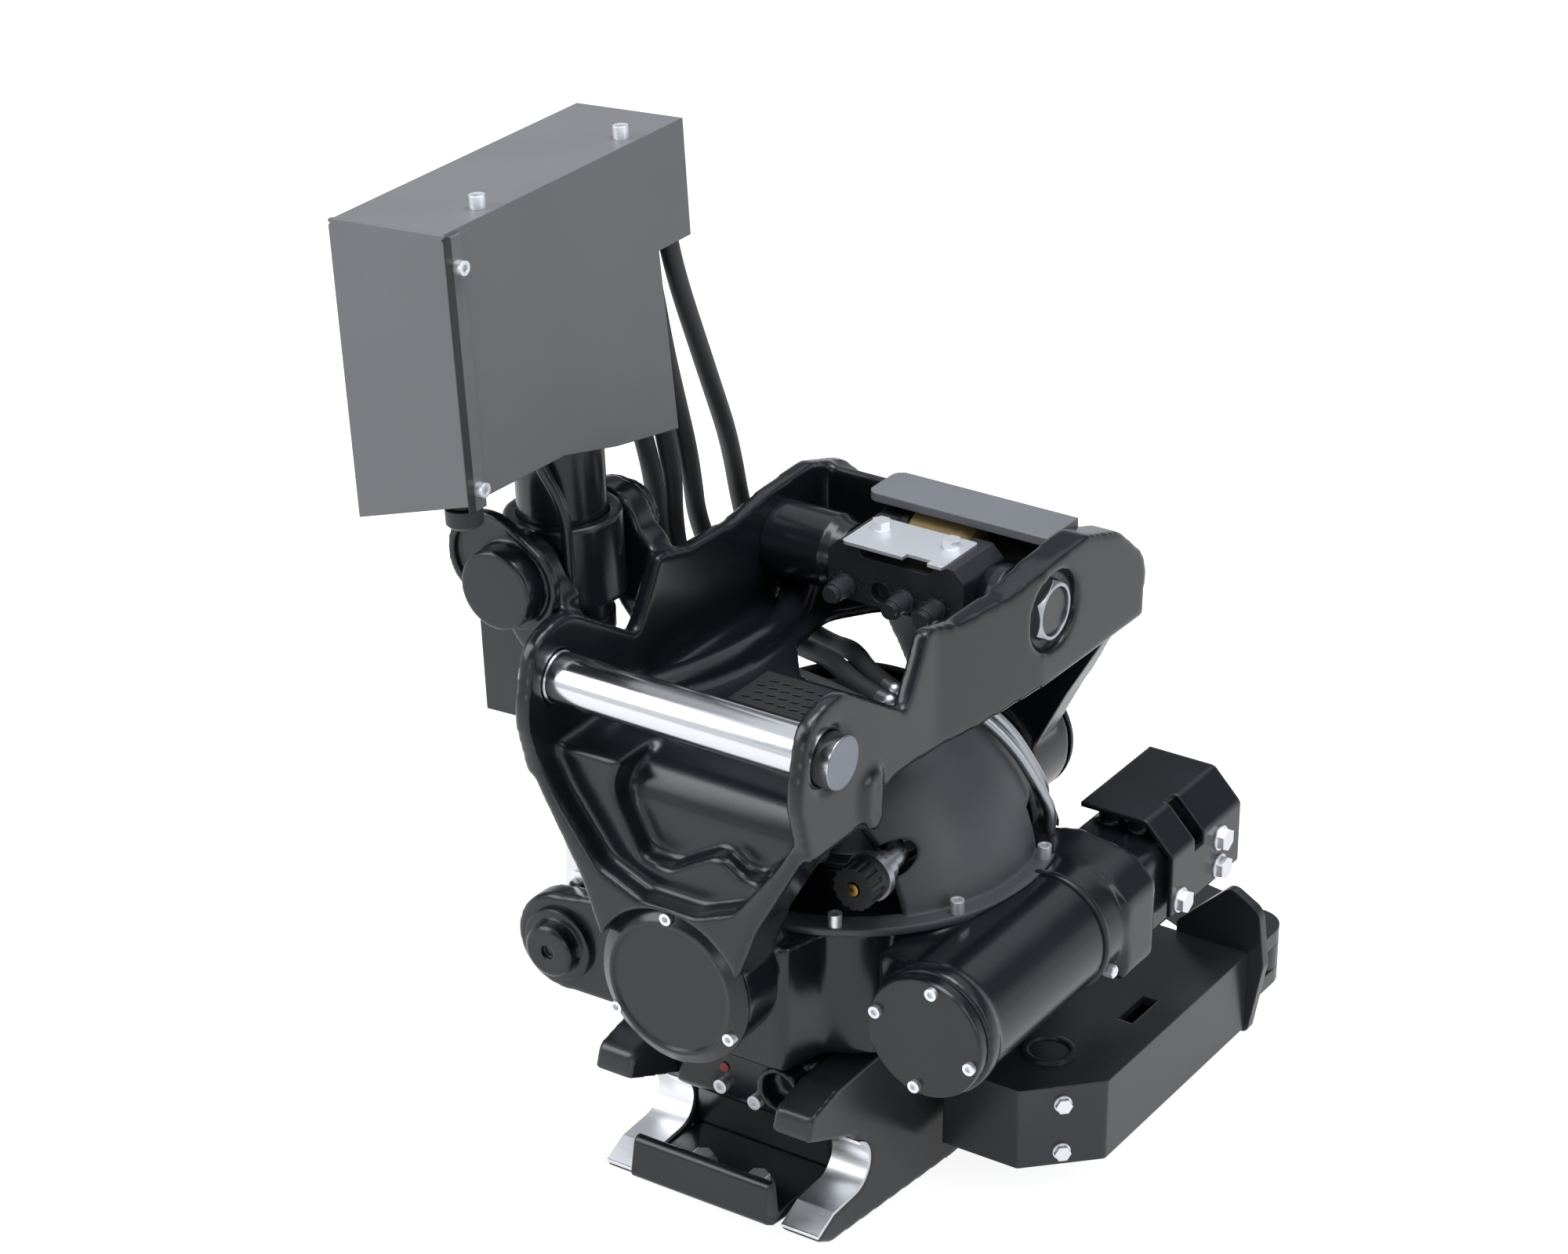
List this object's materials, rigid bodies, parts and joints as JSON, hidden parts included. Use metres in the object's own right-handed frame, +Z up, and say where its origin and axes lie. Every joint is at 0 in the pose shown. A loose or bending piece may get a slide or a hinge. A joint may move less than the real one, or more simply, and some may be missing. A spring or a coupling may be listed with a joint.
{
  "type": "tiltrotator",
  "caption": "Excavator tiltrotator: pinned hitch frame with a leaning tilt cylinder, worm-driven rotor under a dome, and a quick coupler with gripper cassettes.",
  "frame": {"origin": "middle of the front hitch pin, on its axis", "axes": "+X along the front hitch pin to the side away from the tilt cylinder, +Y from the front pin towards the rear pin, +Z up, away from the coupler"},
  "size_m": [0.4918, 0.6678, 0.8522],
  "materials": {
    "black_casting": "semi-gloss black paint on castings and plate",
    "black_sheet": "satin dark grey pressed sheet",
    "grey_cover": "satin grey powder coat",
    "bright_steel": "machined steel",
    "pin_steel": "ground and hard-chromed",
    "zinc_screw": "zinc plated",
    "black_screw": "black oxide",
    "bronze_metallic": "grainy bronze lacquer",
    "cast_motor": "painted cast iron",
    "hose_rubber": "matte braided hose cover",
    "black_plastic": "black plastic",
    "brass_wheel": "bronze worm wheel",
    "oil_pipe": "zinc plated pipe"
  },
  "bodies": {
    "hitch": {"hitch_frame": "black_casting", "front_pin": "pin_steel", "rear_pin": "pin_steel", "rear_pin_nut": "bright_steel", "tilt_covers": "black_casting", "hydraulic_block": "black_casting", "coupling_nipples": "zinc_screw", "block_plate": "zinc_screw", "pin_sleeves": "black_casting", "hitch_screws": "zinc_screw", "rear_crossbar": "black_sheet", "oil_filter": "black_plastic", "bronze_accumulator": "bronze_metallic", "grip_plate": "black_sheet", "trunnion_caps": "black_casting", "hose_1": "hose_rubber", "hose_2": "hose_rubber", "hose_3": "hose_rubber", "hose_4": "hose_rubber"},
    "tilt_barrel": {"cylinder_barrel": "black_casting", "cylinder_gland": "black_casting", "trunnion_ring": "black_casting", "cover_box": "grey_cover", "cover_front_panel": "grey_cover", "cover_corner_strip": "black_plastic", "cover_screws": "zinc_screw", "hose_manifold": "black_casting", "oil_pipe": "oil_pipe", "rod_guard": "black_sheet", "cable_plug": "black_plastic"},
    "tilt_rod": {"piston_rod": "pin_steel", "eye_pin": "bright_steel", "piston": "bright_steel"},
    "housing": {"rotor_housing": "black_casting", "tilt_journals": "bright_steel", "lug_pins": "black_casting", "dome_cover": "black_sheet", "worm_end_cap": "black_casting", "drive_motor": "cast_motor", "motor_guard": "black_casting", "housing_screws": "black_screw", "oil_swivel": "bright_steel", "dome_pipes": "oil_pipe", "connector_ring": "bright_steel", "connector_cap": "black_plastic"},
    "worm": {"worm_shaft": "bright_steel"},
    "coupler": {"worm_wheel": "brass_wheel", "coupler_frame": "black_casting", "right_cheek": "black_casting", "left_cheek": "black_casting", "jaw_liners": "bright_steel", "front_lock_plate": "black_casting", "gripper_cases": "black_casting", "gripper_end_plates": "black_casting", "gripper_cylinders": "black_casting", "gripper_pins": "bright_steel", "coupler_screws": "black_screw"},
    "lock": {"lock_pins": "bright_steel"},
    "finger_right": {"gripper_finger_right": "black_casting"},
    "finger_left": {"gripper_finger_left": "black_casting"}
  },
  "joints": [
    {"name": "tilt", "type": "hinge", "parent": "hitch", "child": "housing", "pos_m": [0, 0, -0.221], "axis": [0, 1, 0], "range_deg": [-34, 34], "deforming": ["hose_1", "hose_2", "hose_3", "hose_4"]},
    {"name": "barrel_swing", "type": "hinge", "parent": "hitch", "child": "tilt_barrel", "pos_m": [-0.174, 0.092, 0.054], "axis": [0, 1, 0], "range_deg": [-5, 5]},
    {"name": "rod_slide", "type": "slide", "parent": "tilt_barrel", "child": "tilt_rod", "axis": [-0.0496, 0, 0.9988], "range_m": [-0.1, 0.1]},
    {"name": "rotation", "type": "hinge", "parent": "housing", "child": "coupler", "pos_m": [0, 0.229, -0.3], "axis": [0, 0, 1], "continuous": true},
    {"name": "worm_spin", "type": "hinge", "parent": "housing", "child": "worm", "pos_m": [0.175, 0.229, -0.247], "axis": [0, 1, 0], "continuous": true},
    {"name": "lock_slide", "type": "slide", "parent": "coupler", "child": "lock", "axis": [0, -1, 0], "range_m": [0, 0.028]},
    {"name": "finger_right_swing", "type": "hinge", "parent": "coupler", "child": "finger_right", "pos_m": [0.214, 0.5165, -0.383], "axis": [0, 0, -1], "range_deg": [-5, 75]},
    {"name": "finger_left_swing", "type": "hinge", "parent": "coupler", "child": "finger_left", "pos_m": [-0.214, 0.5165, -0.383], "axis": [0, 0, -1], "range_deg": [-75, 5]}
  ],
  "couplings": [
    {"joint": "barrel_swing", "follows": "tilt", "ratio": 0.117},
    {"joint": "rod_slide", "follows": "tilt", "m_per_rad": 0.152},
    {"joint": "worm_spin", "follows": "rotation", "ratio": -48},
    {"joint": "finger_left_swing", "follows": "finger_right_swing", "ratio": -1}
  ]
}
